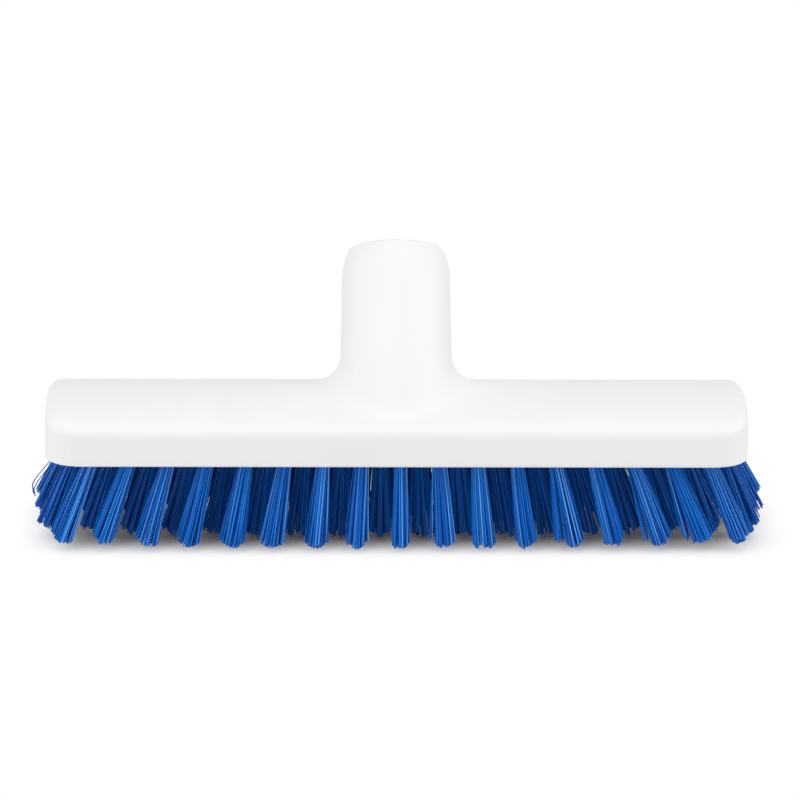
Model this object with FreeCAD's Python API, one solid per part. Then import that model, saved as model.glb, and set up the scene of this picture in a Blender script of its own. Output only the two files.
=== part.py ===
import FreeCAD, Part
import math
import os

from FreeCAD import Placement, Rotation, Vector

# Block: a long bar with rounded corners, upright sides and a crowned top
block_length = 228.6
block_width = 57.15
crown_edge_height = 12.3
ridge_height = 19.5
corner_radius = 12.0
top_edge_radius = 4.5
bottom_edge_radius = 0.8

# Handle socket: a round boss that leans back from the ridge, with a blind bore
socket_lean_deg = 30.0
socket_setback = 2.0
socket_length = 45.2
socket_foot_radius = 18.4
socket_neck_radius = 17.8
rim_length = 10.0
rim_drop = 2.2
rim_edge_radius = 0.8
front_blend_radius = 10.0
back_blend_radius = 2.5
bore_radius = 12.0
bore_depth = 38.1
bore_lead_in = 0.8

# Tufts: four staggered rows of round filament bundles that fan outwards
odd_row_count = 17
even_row_count = 18
front_end_inset = 14.0
second_end_inset = 9.3
rear_end_inset = 8.2
row_side_inset = 9.525
row_shift = 1.2
tuft_length = 29.5
tuft_root_radius = 2.45
tuft_tip_radius = 4.1
outer_fan_deg = 22.0
inner_fan_deg = 18.5
side_fan_deg = 10.5
hole_depth = 12.0
hole_clearance = 0.05

# Anchors: flat wires that hold each folded tuft near the floor of its hole
anchor_thickness = 0.5
anchor_height = 2.0
anchor_bite = 0.6
anchor_clearance = 0.02
anchor_turn_deg = 45.0
fold_thickness = 1.4

# One overrun serves all cuts
overrun = 5.0

# Rows from front to back: name, tufts in the row, its end tufts' inset and how far they fan
rows = [
    ("front", odd_row_count, front_end_inset, outer_fan_deg),
    ("inner_front", even_row_count, second_end_inset, inner_fan_deg),
    ("inner_back", odd_row_count, rear_end_inset, inner_fan_deg),
    ("back", even_row_count, rear_end_inset, outer_fan_deg),
]
paired_rows = ("inner_front", "inner_back")

row_pitch = (block_width - 2 * row_side_inset) / (len(rows) - 1)
hole_radius = tuft_root_radius + hole_clearance
root_depth = hole_depth - hole_clearance
anchor_length = 2 * (hole_radius + anchor_bite)
anchor_middle = root_depth - fold_thickness - anchor_height / 2
back_row_place = (len(rows) - 1) / 2 * row_pitch


def row_places(number, count, end_inset, fan_deg):
    """Mouth and direction of each tuft of one row: the fan opens with the distance from the middle."""
    reach = block_length / 2 - end_inset
    y = number * row_pitch - back_row_place
    slope_y = y / back_row_place * math.tan(math.radians(side_fan_deg))
    row = []
    for step in range(count):
        reach_share = 2 * step / (count - 1) - 1
        slope_x = reach_share * math.tan(math.radians(fan_deg))
        mouth = Vector(row_shift + reach_share * reach, y, 0)
        row.append((mouth, Vector(slope_x, slope_y, -1).normalize()))
    return row


def tuft_tilt(direction):
    return math.acos(-direction.z)


def tuft_drop(direction):
    """How far the lowest corner of a tuft's tip lies under the block."""
    tilt = tuft_tilt(direction)
    return tuft_length * math.cos(tilt) + tuft_tip_radius * math.sin(tilt)


# Heights over the floor: the lowest tips stand on it
row_tufts = [row_places(number, *row[1:]) for number, row in enumerate(rows)]
places = [place for row in row_tufts for place in row]
underside = max(tuft_drop(direction) for mouth, direction in places)
crown_edge = underside + crown_edge_height
ridge = underside + ridge_height


def on_tuft_axis(shape, place):
    """Place a shape, built with its hole's mouth at the origin and the hole upwards, at one tuft."""
    mouth, direction = place
    turn = Rotation(Vector(0, 0, -1), direction)
    return shape.transformed(Placement(mouth + Vector(0, 0, underside), turn).toMatrix())


def anchor_wire(clearance):
    """Flat wire across the hole, grown by a clearance on every side."""
    length = anchor_length + 2 * clearance
    thickness = anchor_thickness + 2 * clearance
    height = anchor_height + 2 * clearance
    corner = Vector(-length / 2, -thickness / 2, anchor_middle - height / 2)
    wire = Part.makeBox(length, thickness, height, corner)
    return wire.rotated(Vector(0, 0, 0), Vector(0, 0, 1), anchor_turn_deg)


def anchor(place):
    return on_tuft_axis(anchor_wire(0), place)


def tuft(place):
    """Folded bundle: straight in its hole, then widening to its tip, with a slot for the anchor."""
    mouth, direction = place
    collar = hole_radius * math.tan(tuft_tilt(direction))
    outline = Part.makePolygon([
        Vector(0, 0, root_depth),
        Vector(tuft_root_radius, 0, root_depth),
        Vector(tuft_root_radius, 0, -collar),
        Vector(tuft_tip_radius, 0, -tuft_length),
        Vector(0, 0, -tuft_length),
        Vector(0, 0, root_depth),
    ])
    bundle = Part.Face(outline).revolve(Vector(0, 0, 0), Vector(0, 0, 1), 360)
    return on_tuft_axis(bundle.cut(anchor_wire(anchor_clearance)), place)


def tuft_hole(place):
    """Drilled hole with the two pockets that the anchor's ends cut into its wall."""
    drill = Part.makeCylinder(hole_radius, hole_depth + overrun, Vector(0, 0, -overrun))
    return on_tuft_axis(drill.fuse(anchor_wire(anchor_clearance)), place)


def corner_rounded_plan():
    """Prism with the block's outline from above."""
    corner = Vector(-block_length / 2, -block_width / 2, underside)
    plate = Part.makeBox(block_length, block_width, ridge_height, corner)
    upright = [edge for edge in plate.Edges if edge.BoundBox.ZLength > ridge_height / 2]
    return plate.makeFillet(corner_radius, upright)


def crown_arc(side):
    """Half of the crown's arc, from the ridge to the front wall (side -1) or the back wall (side 1)."""
    rise = ridge_height - crown_edge_height
    radius = ((block_width / 2) ** 2 + rise ** 2) / (2 * rise)
    half_angle = math.asin(block_width / 2 / radius) / 2
    drop = radius * (1 - math.cos(half_angle))
    between = Vector(0, side * radius * math.sin(half_angle), ridge - drop)
    wall_top = Vector(0, side * block_width / 2, crown_edge)
    return Part.Arc(Vector(0, 0, ridge), between, wall_top).toShape()


def crown_faces(solid):
    """Front and back halves of the crowned top: the only faces rounder than the corners."""
    return [face for face in solid.Faces
            if isinstance(face.Surface, Part.Cylinder) and face.Surface.Radius > corner_radius]


def faces_at(edge, faces):
    """How many of the faces an edge bounds."""
    return sum(any(edge.isSame(other) for other in face.Edges) for face in faces)


def crowned_bar():
    """Block without its socket and holes, with its edges rounded."""
    walls = Part.makePolygon([
        Vector(0, -block_width / 2, crown_edge),
        Vector(0, -block_width / 2, underside),
        Vector(0, block_width / 2, underside),
        Vector(0, block_width / 2, crown_edge),
    ])
    section = Part.Face(Part.Wire(walls.Edges + [crown_arc(1), crown_arc(-1)]))
    section.translate(Vector(-block_length / 2, 0, 0))
    bar = section.extrude(Vector(block_length, 0, 0)).common(corner_rounded_plan())
    crown = crown_faces(bar)
    bar = bar.makeFillet(top_edge_radius, [edge for edge in bar.Edges if faces_at(edge, crown) == 1])
    foot = [edge for edge in bar.Edges if edge.BoundBox.ZMax < underside + bottom_edge_radius]
    return bar.makeFillet(bottom_edge_radius, foot)


def on_socket_axis(shape):
    """Lean a shape, built upwards from the origin, back from the ridge's height."""
    foot = Vector(0, socket_setback, ridge)
    return shape.transformed(Placement(foot, Rotation(Vector(1, 0, 0), -socket_lean_deg)).toMatrix())


def rim_arc():
    """Arc along which the boss draws in from its shoulder to its rim."""
    shoulder = socket_length - rim_length
    radius = (rim_length ** 2 + rim_drop ** 2) / (2 * rim_drop)
    half_angle = math.asin(rim_length / radius) / 2
    drawn_in = radius * (1 - math.cos(half_angle))
    between = Vector(0, socket_neck_radius - drawn_in, shoulder + radius * math.sin(half_angle))
    rim = Vector(0, socket_neck_radius - rim_drop, socket_length)
    return Part.Arc(Vector(0, socket_neck_radius, shoulder), between, rim).toShape()


def socket_boss():
    """Tapered boss that draws in at its rim, cut off level inside the block."""
    shoulder = socket_length - rim_length
    taper = (socket_foot_radius - socket_neck_radius) / shoulder
    root_radius = socket_foot_radius + taper * block_width
    side = Part.makePolygon([
        Vector(0, socket_neck_radius - rim_drop, socket_length),
        Vector(0, 0, socket_length),
        Vector(0, 0, -block_width),
        Vector(0, root_radius, -block_width),
        Vector(0, socket_neck_radius, shoulder),
    ])
    outline = Part.Wire(side.Edges + [rim_arc()])
    boss = Part.Face(outline).revolve(Vector(0, 0, 0), Vector(0, 0, 1), 360)
    rim = [edge for edge in boss.Edges if edge.BoundBox.ZMin > socket_length - rim_length / 2]
    boss = on_socket_axis(boss.makeFillet(rim_edge_radius, rim))
    corner = Vector(-block_length / 2, -block_length / 2, crown_edge)
    return boss.common(Part.makeBox(block_length, block_length, block_length, corner))


def socket_bore():
    """Blind hole for the handle, with a chamfer at its mouth."""
    hole = Part.makeCylinder(bore_radius, bore_depth, Vector(0, 0, socket_length - bore_depth))
    mouth = Vector(0, 0, socket_length - bore_lead_in)
    chamfer = Part.makeCone(bore_radius, bore_radius + bore_lead_in, bore_lead_in, mouth)
    return on_socket_axis(hole.fuse(chamfer))


def blend_radius(point):
    """Radius of the blend round the boss: it narrows from the sides to the back."""
    at_back = point.y > socket_foot_radius / 2
    return back_blend_radius if at_back else front_blend_radius


def blended_half(solid):
    """Right half of the block, with the boss blended in: wide in front, narrowing behind."""
    corner = Vector(0, -block_length / 2, 0)
    half = solid.common(Part.makeBox(block_length, block_length, block_length, corner)).Solids[0]
    crown = crown_faces(half)
    boss = [face for face in half.Faces if isinstance(face.Surface, Part.Cone)]
    document = FreeCAD.newDocument()
    base = document.addObject("Part::Feature", "half")
    base.Shape = half
    blend = document.addObject("Part::Fillet", "blend")
    blend.Base = base
    seam = []
    for number, edge in enumerate(base.Shape.Edges, 1):
        if faces_at(edge, crown) and faces_at(edge, boss):
            start = edge.firstVertex(True).Point
            end = edge.lastVertex(True).Point
            seam.append((number, blend_radius(start), blend_radius(end)))
    blend.Edges = seam
    document.recompute()
    blended = blend.Shape.copy()
    FreeCAD.closeDocument(document.Name)
    return blended


def block():
    solid = crowned_bar().fuse(socket_boss())
    half = blended_half(solid)
    whole = half.fuse(half.mirror(Vector(0, 0, 0), Vector(1, 0, 0))).removeSplitter()
    holes = [tuft_hole(place) for place in places]
    return whole.cut([socket_bore()] + holes).Solids[0]


def export(node, solids):
    Part.makeCompound(solids).exportStep(f"parts/{node}.step")


def export_row(name, row):
    """Anchors of a row in one node, its tufts one by one, or in pairs that mirror each other."""
    export(f"{name}_anchors", [anchor(place) for place in row])
    if name in paired_rows:
        middle = len(row) // 2
        for number in range(middle):
            pair = [row[number], row[-1 - number]]
            export(f"{name}_tuft_pair_{number + 1}", [tuft(place) for place in pair])
        if len(row) % 2:
            export(f"{name}_tuft_middle", [tuft(row[middle])])
    else:
        for number, place in enumerate(row, 1):
            export(f"{name}_tuft_{number:02d}", [tuft(place)])


os.makedirs("parts", exist_ok=True)
export("block", [block()])
for row, tufts in zip(rows, row_tufts):
    export_row(row[0], tufts)
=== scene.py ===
import math
import random
from collections import namedtuple

import bpy
import numpy as np
from mathutils import Matrix, Vector


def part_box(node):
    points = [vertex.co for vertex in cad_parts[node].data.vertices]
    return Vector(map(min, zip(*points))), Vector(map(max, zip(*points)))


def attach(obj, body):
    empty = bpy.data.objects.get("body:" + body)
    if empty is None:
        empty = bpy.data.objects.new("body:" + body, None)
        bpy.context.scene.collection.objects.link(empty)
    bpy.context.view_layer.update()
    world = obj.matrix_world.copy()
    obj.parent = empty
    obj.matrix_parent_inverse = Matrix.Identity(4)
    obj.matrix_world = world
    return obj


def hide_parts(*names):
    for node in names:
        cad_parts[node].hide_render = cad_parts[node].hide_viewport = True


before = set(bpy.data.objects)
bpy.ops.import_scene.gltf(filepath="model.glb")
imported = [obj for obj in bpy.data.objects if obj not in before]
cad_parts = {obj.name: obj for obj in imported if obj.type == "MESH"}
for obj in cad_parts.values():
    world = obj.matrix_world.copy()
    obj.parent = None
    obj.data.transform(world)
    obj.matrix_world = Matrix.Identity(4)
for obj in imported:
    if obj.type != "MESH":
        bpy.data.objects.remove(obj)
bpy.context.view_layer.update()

# Sizes in metres, as in the solids
block_low, block_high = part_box("block")
underside = block_low[2]
block_end = block_high[0]
row_pitch = 0.0127
row_shift = 0.0012
tuft_length = 0.0295
tuft_root_radius = 0.00245
tuft_tip_radius = 0.0041
outer_fan = math.radians(22.0)
inner_fan = math.radians(18.5)
side_fan = math.radians(10.5)

# Rows from front to back: the end tufts' inset and fan, then the tips' sideways lean, spread and
# shade; the inner rows' shade of 0.6 is painted shade
Row = namedtuple("Row", "name tufts end_inset fan lean spread shade")
front_row = Row("front", 17, 0.0140, outer_fan, 0.0, 1.0, 1.0)
# The two inner rows are darkened to a shade of 0.6: painted shade, as they lie in the shade of the
# front row and the block
inner_front_row = Row("inner_front", 18, 0.0093, inner_fan, 0.0004, 1.25, 0.6)
inner_back_row = Row("inner_back", 17, 0.0082, inner_fan, 0.0004, 1.45, 0.6)
back_row = Row("back", 18, 0.0082, outer_fan, 0.0008, 1.4, 1.0)
rows = [front_row, inner_front_row, inner_back_row, back_row]

# A tuft: its mouth and slopes, how it leans and spreads, its loose strands and its shade, which is
# painted shade on the inner rows
Tuft = namedtuple("Tuft", "place lean spread loose shade")

# Rows behind: lean halfway along the right side and at the left end, and how far each tuft varies
right_lean = 0.0024
left_lean = -0.0012
left_start_share = 0.5
lean_scatter = 0.0002
spread_scatter = 0.03

# Front tufts from left to right: lean, spread, and the number of strands that stand loose at the left
front_lean = [0.0006, -0.0005, 0.0007, 0.0, 0.0007, -0.0003, 0.0, -0.0004, 0.0001,
              0.0006, -0.0006, -0.0004, 0.0005, 0.0004, 0.0018, 0.0021, 0.0005]
front_spread = [1.05, 1.05, 1.12, 1.12, 1.22, 1.08, 1.05, 0.96, 0.9,
                0.92, 1.0, 0.92, 1.08, 1.0, 1.02, 1.05, 0.95]
front_loose = [0, 0, 0, 0, 0, 0, 0, 0, 0, 4, 0, 0, 24, 0, 8, 8, 0]
loose_lean = 0.0022
loose_lean_shares = (0.3, 1.0)
loose_drop = 0.0026
loose_drop_shares = (0.4, 1.0)

# Two strands that have sprung out of the leftmost back tuft: places from its mouth down
stray_bends = [
    [(0.0018, 0.0, 0.004), (-0.0053, 0.0013, -0.007), (-0.0146, 0.0035, -0.0190),
     (-0.0156, 0.0039, -0.0212), (-0.0153, 0.0044, -0.0244)],
    [(0.0024, -0.0004, 0.004), (-0.0046, 0.0006, -0.007), (-0.0138, 0.0028, -0.0198),
     (-0.0151, 0.0034, -0.0226), (-0.0147, 0.0040, -0.0252)],
]

# Filaments
filament_radius = 0.00022
filament_sides = 6
filament_steps = 4
filaments_per_tuft = 90
filament_sink = 0.004
end_taper = 0.66
end_rounding = 0.00014
packing_margin = 1.5

# How the filaments of a tuft differ and draw together
root_scatter = 0.00004
tip_scatter = 0.00014
bow_scatter = 0.00010
length_scatter = 0.00035
end_dome = 0.0016
clumps_per_tuft = 9
clump_pull = 0.50
clump_pull_shares = (0.4, 1.0)
clump_step = 0.00085
chance_seed = 71

# Darkest and lightest shade of the filaments behind, and of those at the front of a tuft by turns,
# which paint highlights and shade between filaments
shades_behind = (0.0, 0.6)
painted_highlight_and_shade_turns = [(0.0, 0.45), (0.6, 1.0)]
stray_shade = 0.2

# A filament hides those behind it that are nearer sideways than this share of its radius
hiding_share = 0.8

# Finishes: colours with their places on a scale from 0 to 1, roughness and gloss
white_tints = [(0.3, (0.831, 0.834, 0.826)), (0.7, (0.853, 0.856, 0.850))]
white_roughness = (0.38, 0.48)
white_gloss = 0.38
# The blue's whitish top tint is a painted highlight, reached only by the light turns at the front of
# tufts
blue_tints_with_painted_highlight = [(0.0, (0.0, 0.075, 0.41)), (0.75, (0.001, 0.215, 0.80)), (1.0, (0.150, 0.460, 1.0))]
blue_roughness = (0.12, 0.22)
blue_gloss = 0.2
wire_tints = [(0.0, (0.45, 0.45, 0.44)), (1.0, (0.66, 0.66, 0.64))]
wire_roughness = 0.38

# Floor: a rectangle under the brush keeps its shadow and is painted a darker warm grey there as
# painted shadow, and it fades to white all round
floor_size = 12.0
floor_gap = 0.0002
# The first floor tint, a darker warm grey under the brush, is a painted shadow
floor_tints_with_painted_shadow = [(0.0, (0.80, 0.71, 0.60)), (0.5, (0.92, 0.92, 0.91))]
shadow_middle = {"X": 0.002, "Y": 0.009}
shadow_half = {"X": 0.104, "Y": 0.019}
shadow_fade = 0.025
least_white = 0.03

# Light: turn and rise in degrees, distance, width and height in metres, power in watts
surround_light = 0.28
softboxes = [
    ("top_softbox", 0.0, 78.0, 2.2, 2.6, 2.2, 25.8),
    ("left_softbox", -36.0, 30.0, 1.7, 1.5, 1.4, 9.1),
    ("right_softbox", 67.0, 28.0, 1.7, 1.0, 1.3, 7.1),
    ("far_left_softbox", -86.0, 13.0, 1.7, 1.2, 1.0, 5.3),
    ("far_right_softbox", 92.0, 13.0, 1.7, 1.2, 1.0, 4.8),
]

# Camera
camera_turn = math.radians(-1.042)
camera_rise = math.radians(15.806)
camera_roll = math.radians(0.395)
camera_distance = 1.8997
camera_lens = 260.97
camera_sensor = 36.0
camera_sight = 50.0
camera_aim = Vector((0.0, 0.0, 0.045))
aim_right = 0.001204
aim_up = -0.000458


def add_node(tree, kind, settings=None, **inputs):
    """A shader node with its settings and the values of its sockets."""
    made = tree.nodes.new(kind)
    for name, value in (settings or {}).items():
        setattr(made, name, value)
    for name, value in inputs.items():
        made.inputs[name.replace("_", " ")].default_value = value
    return made


def worked_out(tree, operation, *terms):
    """Result of a sum whose terms are numbers or sockets."""
    made = add_node(tree, "ShaderNodeMath", {"operation": operation})
    for socket, term in zip(made.inputs, terms):
        if isinstance(term, float):
            socket.default_value = term
        else:
            tree.links.new(term, socket)
    return made.outputs[0]


def tinted(tree, amount, tints):
    """Colour that goes through the tints as the amount goes from 0 to 1."""
    ramp = add_node(tree, "ShaderNodeValToRGB")
    stops = ramp.color_ramp.elements
    for number, (place, colour) in enumerate(tints):
        stop = stops[number] if number < len(stops) else stops.new(place)
        stop.position = place
        stop.color = (*colour, 1)
    tree.links.new(amount, ramp.inputs["Fac"])
    return ramp.outputs["Color"]


def spanned(tree, amount, low, high):
    """Number that goes from low to high as the amount goes from 0 to 1."""
    span = add_node(tree, "ShaderNodeMapRange", To_Min=low, To_Max=high)
    tree.links.new(amount, span.inputs["Value"])
    return span.outputs["Result"]


def place_of(tree):
    """Place on the piece, in metres."""
    return tree.nodes.new("ShaderNodeTexCoord").outputs["Object"]


def noise(tree, **inputs):
    """Cloudy amount from 0 to 1 that is fixed to the piece."""
    clouds = add_node(tree, "ShaderNodeTexNoise", **inputs)
    tree.links.new(place_of(tree), clouds.inputs["Vector"])
    return clouds.outputs["Fac"]


def new_material(name):
    """A material, its tree and its surface."""
    material = bpy.data.materials.new(name)
    material.use_nodes = True
    tree = material.node_tree
    return material, tree, tree.nodes["Principled BSDF"]


def moulded_white():
    """White moulded plastic: a satin skin with faint flow clouds and a fine grain."""
    material, tree, skin = new_material("moulded_white")
    link = tree.links.new
    flow = noise(tree, Scale=26.0, Detail=3.0, Roughness=0.55)
    link(tinted(tree, flow, white_tints), skin.inputs["Base Color"])
    link(spanned(tree, flow, *white_roughness), skin.inputs["Roughness"])
    skin.inputs["Specular IOR Level"].default_value = white_gloss
    relief = add_node(tree, "ShaderNodeBump", Strength=0.06, Distance=0.0002)
    link(noise(tree, Scale=1400.0, Detail=2.0), relief.inputs["Height"])
    link(relief.outputs["Normal"], skin.inputs["Normal"])
    return material


def blue_filament():
    """Blue extruded filament: each one a little lighter or darker than the next, with painted
    highlights and painted shade carried in its tone.
    """
    material, tree, skin = new_material("blue_filament")
    link = tree.links.new
    shade = add_node(tree, "ShaderNodeAttribute", {"attribute_name": "filament_shade"})
    # The tone holds painted highlights, painted shade between filaments and painted shade on the inner
    # rows
    link(tinted(tree, shade.outputs["Fac"], blue_tints_with_painted_highlight), skin.inputs["Base Color"])
    streak = noise(tree, Scale=900.0, Detail=1.0)
    link(spanned(tree, streak, *blue_roughness), skin.inputs["Roughness"])
    skin.inputs["Specular IOR Level"].default_value = blue_gloss
    return material


def drawn_wire():
    """Flat galvanised wire with a fine mottle."""
    material, tree, skin = new_material("drawn_wire")
    mottle = noise(tree, Scale=3000.0, Detail=2.0)
    tree.links.new(tinted(tree, mottle, wire_tints), skin.inputs["Base Color"])
    skin.inputs["Metallic"].default_value = 1.0
    skin.inputs["Roughness"].default_value = wire_roughness
    return material


def straight_filament():
    """One upright filament, modelled once: rings from height 0 to 1 and a smaller end ring at 2."""
    bpy.ops.object.select_all(action="DESELECT")
    bpy.ops.mesh.primitive_circle_add(vertices=filament_sides, radius=1.0, fill_type="NOTHING")
    pattern = bpy.context.object
    bpy.ops.object.mode_set(mode="EDIT")
    bpy.ops.mesh.select_all(action="SELECT")
    for step in range(filament_steps):
        rise = (0.0, 0.0, 1.0 / filament_steps)
        bpy.ops.mesh.extrude_region_move(TRANSFORM_OT_translate={"value": rise})
    bpy.ops.mesh.extrude_region_move(TRANSFORM_OT_translate={"value": (0.0, 0.0, 1.0)})
    bpy.ops.transform.resize(value=(end_taper, end_taper, 1.0))
    bpy.ops.mesh.edge_face_add()
    bpy.ops.mesh.select_all(action="SELECT")
    bpy.ops.mesh.normals_make_consistent(inside=False)
    bpy.ops.object.mode_set(mode="OBJECT")
    points = np.array([vertex.co[:] for vertex in pattern.data.vertices])
    faces = [tuple(face.vertices) for face in pattern.data.polygons]
    bpy.data.objects.remove(pattern)
    return points, faces


def packed_spots(count, dice):
    """Spots packed like stacked rods in a disc of radius 1, turned and shifted by chance."""
    pitch = math.sqrt(2 * math.pi / (math.sqrt(3) * count))
    reach = math.ceil(packing_margin / pitch)
    turn, shift_x, shift_y = dice.uniform(0, math.pi), dice.random() * pitch, dice.random() * pitch
    spots = []
    for row in range(-reach, reach + 1):
        for step in range(-reach, reach + 1):
            x = (step + row % 2 / 2) * pitch + shift_x
            y = row * pitch * math.sqrt(3) / 2 + shift_y
            turned_x = x * math.cos(turn) - y * math.sin(turn)
            turned_y = x * math.sin(turn) + y * math.cos(turn)
            spots.append((turned_x, turned_y))
    spots.sort(key=lambda spot: math.hypot(*spot))
    return np.array(spots[:count])


def foremost(spots):
    """Number from left to right of each spot with none before it, and -1 for those behind."""
    width = hiding_share * filament_radius / (tuft_root_radius - filament_radius)
    beside = np.abs(spots[:, 0] - spots[:, :1]) < width
    hidden = (beside & (spots[:, 1] > spots[:, 1:])).any(axis=1)
    numbers = np.full(len(spots), -1)
    seen = np.flatnonzero(~hidden)
    numbers[seen[np.argsort(spots[seen, 0])]] = np.arange(len(seen))
    return numbers


def filament_points(mouth, axes, root, tip, bow, length):
    """Points of one filament from inside its hole to its tip, kept above the floor."""
    along, across, aside = axes
    run = filament_height * (length - end_rounding + filament_sink) - filament_sink
    share = np.clip(run / length, 0, 1)
    bulge = 4 * share * (1 - share)
    path = root + np.outer(share, tip - root) + np.outer(bulge, bow)
    side = path + filament[:, :2] * filament_radius
    made = mouth + np.outer(run + filament_end * end_rounding, along) + np.outer(side[:, 0], across)
    made += np.outer(side[:, 1], aside)
    made[:, 2] -= share * min(made[:, 2].min(), 0.0)
    return made


def tuft_points(tuft, dice):
    """Points and shades of the filaments of one tuft, each with its own lean, bow and length."""
    x, y, slope_x, slope_y = tuft.place
    along = Vector((slope_x + tuft.lean / tuft_length, slope_y, -1.0)).normalized()
    across = (Vector((1.0, 0.0, 0.0)) - along * along.x).normalized()
    axes = [np.array(axis) for axis in (along, across, along.cross(across))]
    mouth = np.array((x, y, underside))
    root_reach = tuft_root_radius - filament_radius
    tip_reach = (tuft_tip_radius - filament_radius) * tuft.spread
    spots = packed_spots(filaments_per_tuft, dice)
    clumps = packed_spots(clumps_per_tuft, dice)
    clump_lengths = [dice.gauss(0, clump_step) for clump in clumps]
    ranks = np.argsort(np.argsort(spots[:, 0]))
    points, shades = [], []
    for spot, rank, number in zip(spots, ranks, foremost(spots)):
        root = spot * root_reach + (dice.gauss(0, root_scatter), dice.gauss(0, root_scatter))
        near = np.argmin(((clumps - spot) ** 2).sum(axis=1))
        tip = spot + (clumps[near] - spot) * clump_pull * dice.uniform(*clump_pull_shares)
        tip = tip * tip_reach + (dice.gauss(0, tip_scatter), dice.gauss(0, tip_scatter))
        short = end_dome * spot[0] ** 2 + abs(clump_lengths[near]) + abs(dice.gauss(0, length_scatter))
        if rank < tuft.loose:
            tip[0] -= loose_lean * dice.uniform(*loose_lean_shares)
            short += loose_drop * dice.uniform(*loose_drop_shares)
        bow = np.array((dice.gauss(0, bow_scatter), dice.gauss(0, bow_scatter)))
        points.append(filament_points(mouth, axes, root, tip, bow, tuft_length - short))
        # Light and dark turns at a tuft's front are painted highlights and painted shade between
        # filaments
        darkest, lightest = shades_behind if number < 0 else painted_highlight_and_shade_turns[number % 2]
        shades.append(tuft.shade * (darkest + (lightest - darkest) * dice.random()))
    return points, shades


def stray_points(mouth, bends):
    """Points of one strand outside its tuft, which runs through the given places."""
    step = filament_height * filament_steps
    made = [np.interp(step, range(len(bends)), [bend[axis] for bend in bends]) for axis in range(3)]
    made = np.stack(made, axis=1) + filament * (filament_radius, -filament_radius, 0.0)
    made[:, 2] -= filament_end * end_rounding
    return made + mouth


def bristles(name, node, tufts, dice, strays=()):
    """Loose filaments that stand for the tufts of one node."""
    points, shades = [], []
    for tuft in tufts:
        made, tones = tuft_points(tuft, dice)
        points += made
        shades += tones
    for bends in strays:
        x, y = tufts[0].place[:2]
        points.append(stray_points((x, y, underside), bends))
        shades.append(stray_shade)
    count = len(filament)
    faces = [tuple(corner + number * count for corner in face)
             for number in range(len(points)) for face in filament_faces]
    mesh = bpy.data.meshes.new(name)
    mesh.from_pydata(np.concatenate(points).tolist(), [], faces)
    mesh.polygons.foreach_set("use_smooth", [True] * len(mesh.polygons))
    tone = mesh.attributes.new("filament_shade", "FLOAT", "POINT")
    tone.data.foreach_set("value", np.repeat(shades, count))
    mesh.materials.append(filament_blue)
    piece = bpy.data.objects.new(name, mesh)
    bpy.context.scene.collection.objects.link(piece)
    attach(piece, "root")
    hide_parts(node)


def row_places(row):
    """Mouth and slopes of each tuft of a row: the fan opens with the distance from the middle."""
    middle_row = (len(rows) - 1) / 2
    from_middle = rows.index(row) - middle_row
    y = from_middle * row_pitch
    slope_y = from_middle / middle_row * math.tan(side_fan)
    places = []
    for step in range(row.tufts):
        reach_share = 2 * step / (row.tufts - 1) - 1
        x = row_shift + reach_share * (block_end - row.end_inset)
        places.append((x, y, reach_share * math.tan(row.fan), slope_y))
    return places


def front_tuft(number, place):
    """A tuft of the front row, with the lean, spread and loose strands given for it."""
    lean = front_row.lean + front_lean[number]
    spread = front_row.spread * front_spread[number]
    return Tuft(place, lean, spread, front_loose[number], front_row.shade)


def any_tuft(row, place, dice):
    """A tuft of the rows behind, with a lean and a spread by chance."""
    share = place[0] / block_end
    at_left = max(-share - left_start_share, 0.0) / (1.0 - left_start_share)
    lean = row.lean * (1.0 - at_left) + left_lean * at_left
    lean = dice.gauss(lean + right_lean * math.sin(math.pi * max(share, 0.0)), lean_scatter)
    spread = dice.gauss(row.spread, spread_scatter)
    return Tuft(place, lean, spread, 0, row.shade)


def straight_looks(tree):
    """1 for what is looked at straight, in a reflection or through something, else 0."""
    path = tree.nodes.new("ShaderNodeLightPath").outputs
    seen = worked_out(tree, "MAXIMUM", path["Is Camera Ray"], path["Is Glossy Ray"])
    return worked_out(tree, "MAXIMUM", seen, path["Is Transmission Ray"])


def mixed_to_end(tree, share, first, second, end_kind):
    """Two shaders, mixed by a share of the second, as what the tree gives."""
    mix = tree.nodes.new("ShaderNodeMixShader")
    end = tree.nodes.new(end_kind)
    tree.links.new(share, mix.inputs["Fac"])
    tree.links.new(first.outputs[0], mix.inputs[1])
    tree.links.new(second.outputs[0], mix.inputs[2])
    tree.links.new(mix.outputs[0], end.inputs["Surface"])


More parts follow.
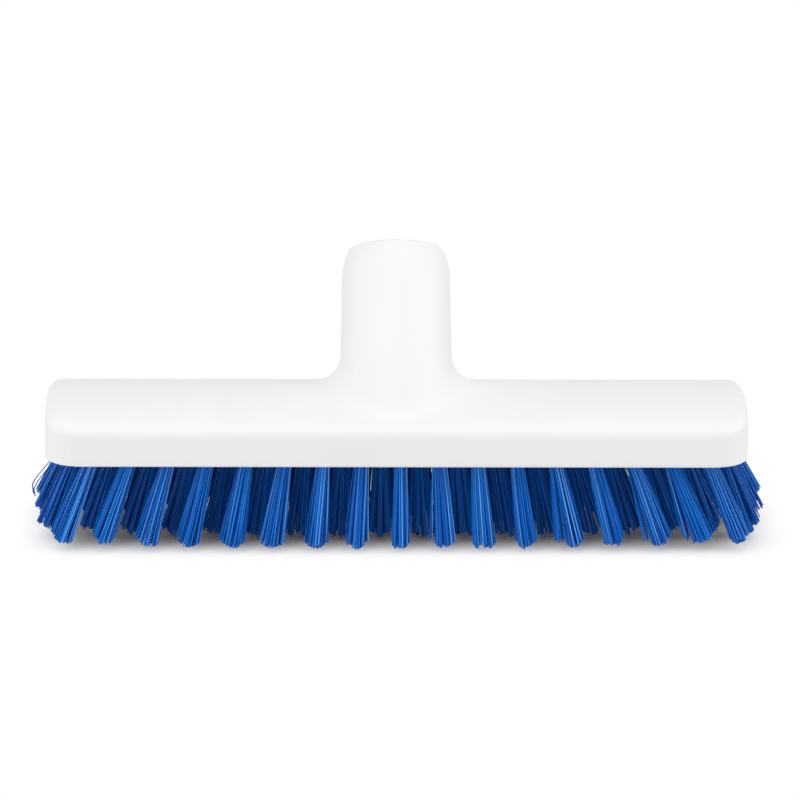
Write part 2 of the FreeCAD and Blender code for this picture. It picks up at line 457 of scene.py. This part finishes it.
def studio_floor():
    """Pale floor that keeps the shadow under the brush, darkened there to warm grey as painted shadow,
    and fades to white away from it.
    """
    bpy.ops.object.select_all(action="DESELECT")
    bpy.ops.mesh.primitive_plane_add(size=floor_size, location=(0.0, 0.0, -floor_gap))
    floor = bpy.context.object
    floor.name = "studio_floor"
    bpy.ops.object.transform_apply(location=True, rotation=True, scale=True)
    material, tree = new_material("floor_white")[:2]
    tree.nodes.clear()
    matte = add_node(tree, "ShaderNodeBsdfDiffuse")
    white = add_node(tree, "ShaderNodeEmission", Color=(1, 1, 1, 1), Strength=1.0)
    split = tree.nodes.new("ShaderNodeSeparateXYZ")
    tree.links.new(place_of(tree), split.inputs["Vector"])
    squares = []
    for axis in ("X", "Y"):
        aside = worked_out(tree, "SUBTRACT", split.outputs[axis], shadow_middle[axis])
        beyond = worked_out(tree, "SUBTRACT", worked_out(tree, "ABSOLUTE", aside), shadow_half[axis])
        outside = worked_out(tree, "MAXIMUM", beyond, 0.0)
        squares.append(worked_out(tree, "MULTIPLY", outside, outside))
    distance = worked_out(tree, "SQRT", worked_out(tree, "ADD", *squares))
    fade = add_node(tree, "ShaderNodeMapRange", {"interpolation_type": "SMOOTHSTEP"},
                    From_Min=0.0, From_Max=shadow_fade, To_Min=least_white)
    tree.links.new(distance, fade.inputs["Value"])
    # Painted shadow: the floor's colour darkens to warm grey under the brush
    tree.links.new(tinted(tree, fade.outputs[0], floor_tints_with_painted_shadow), matte.inputs["Color"])
    share = worked_out(tree, "MULTIPLY", fade.outputs[0], straight_looks(tree))
    mixed_to_end(tree, share, matte, white, "ShaderNodeOutputMaterial")
    floor.data.materials.append(material)


def white_surround():
    """Even pale light from all round; straight looks at it see plain white."""
    world = bpy.data.worlds.new("surround")
    bpy.context.scene.world = world
    world.use_nodes = True
    tree = world.node_tree
    tree.nodes.clear()
    glow = add_node(tree, "ShaderNodeBackground", Color=(1, 1, 1, 1), Strength=surround_light)
    white = add_node(tree, "ShaderNodeBackground", Color=(1, 1, 1, 1), Strength=1.0)
    mixed_to_end(tree, straight_looks(tree), glow, white, "ShaderNodeOutputWorld")


def direction(turn, rise):
    """Way out from the brush, turned from its front to the right and risen from the floor."""
    return Vector((math.sin(turn) * math.cos(rise), -math.cos(turn) * math.cos(rise), math.sin(rise)))


def softbox(name, turn, rise, distance, width, height, power):
    """Square lamp that looks at the brush."""
    lamp = bpy.data.lights.new(name, "AREA")
    lamp.shape = "RECTANGLE"
    lamp.size = width
    lamp.size_y = height
    lamp.energy = power
    outward = direction(math.radians(turn), math.radians(rise))
    thing = bpy.data.objects.new(name, lamp)
    thing.location = camera_aim + outward * distance
    thing.rotation_mode = "QUATERNION"
    thing.rotation_quaternion = outward.to_track_quat("Z", "Y")
    bpy.context.scene.collection.objects.link(thing)


def level_axes(outward):
    """Right and up of a level camera that looks the other way."""
    right = (-outward).cross(Vector((0.0, 0.0, 1.0))).normalized()
    return right, right.cross(-outward)


def photo_camera():
    """Camera at the photograph's angle."""
    outward = direction(camera_turn, camera_rise)
    right, up = level_axes(outward)
    place = camera_aim + outward * camera_distance
    aim = camera_aim + right * aim_right + up * aim_up
    outward = (place - aim).normalized()
    right, up = level_axes(outward)
    rolled_right = right * math.cos(camera_roll) + up * math.sin(camera_roll)
    rolled_up = up * math.cos(camera_roll) - right * math.sin(camera_roll)
    lens = bpy.data.cameras.new("camera")
    lens.lens = camera_lens
    lens.sensor_width = camera_sensor
    lens.clip_end = camera_sight
    thing = bpy.data.objects.new("camera", lens)
    thing.rotation_mode = "QUATERNION"
    thing.location = place
    thing.rotation_quaternion = Matrix((rolled_right, rolled_up, outward)).transposed().to_quaternion()
    bpy.context.scene.collection.objects.link(thing)
    bpy.context.scene.camera = thing


# Finishes on the solids that stay
block_white = moulded_white()
filament_blue = blue_filament()
anchor_steel = drawn_wire()
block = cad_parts["block"]
block.data.materials.clear()
block.data.materials.append(block_white)
for row in rows:
    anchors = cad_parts[f"{row.name}_anchors"]
    anchors.data.materials.clear()
    anchors.data.materials.append(anchor_steel)

# Bristles in place of the solid tufts
filament, filament_faces = straight_filament()
filament_height = np.clip(filament[:, 2], 0, 1)
filament_end = np.clip(filament[:, 2] - 1, 0, 1)
dice = random.Random(chance_seed)
for number, place in enumerate(row_places(front_row), 1):
    tuft = front_tuft(number - 1, place)
    bristles(f"front_bristles_{number:02d}", f"front_tuft_{number:02d}", [tuft], dice)
for number, place in enumerate(row_places(back_row), 1):
    strays = stray_bends if number == 1 else ()
    tuft = any_tuft(back_row, place, dice)
    bristles(f"back_bristles_{number:02d}", f"back_tuft_{number:02d}", [tuft], dice, strays)
for row in (inner_front_row, inner_back_row):
    places = row_places(row)
    middle = len(places) // 2
    for number in range(1, middle + 1):
        pair = [any_tuft(row, places[number - 1], dice), any_tuft(row, places[-number], dice)]
        bristles(f"{row.name}_bristles_pair_{number}", f"{row.name}_tuft_pair_{number}", pair, dice)
    if len(places) % 2:
        tuft = any_tuft(row, places[middle], dice)
        bristles(f"{row.name}_bristles_middle", f"{row.name}_tuft_middle", [tuft], dice)

# Studio
studio_floor()
white_surround()
for lamp in softboxes:
    softbox(*lamp)
photo_camera()
bpy.context.scene.view_settings.view_transform = "Standard"
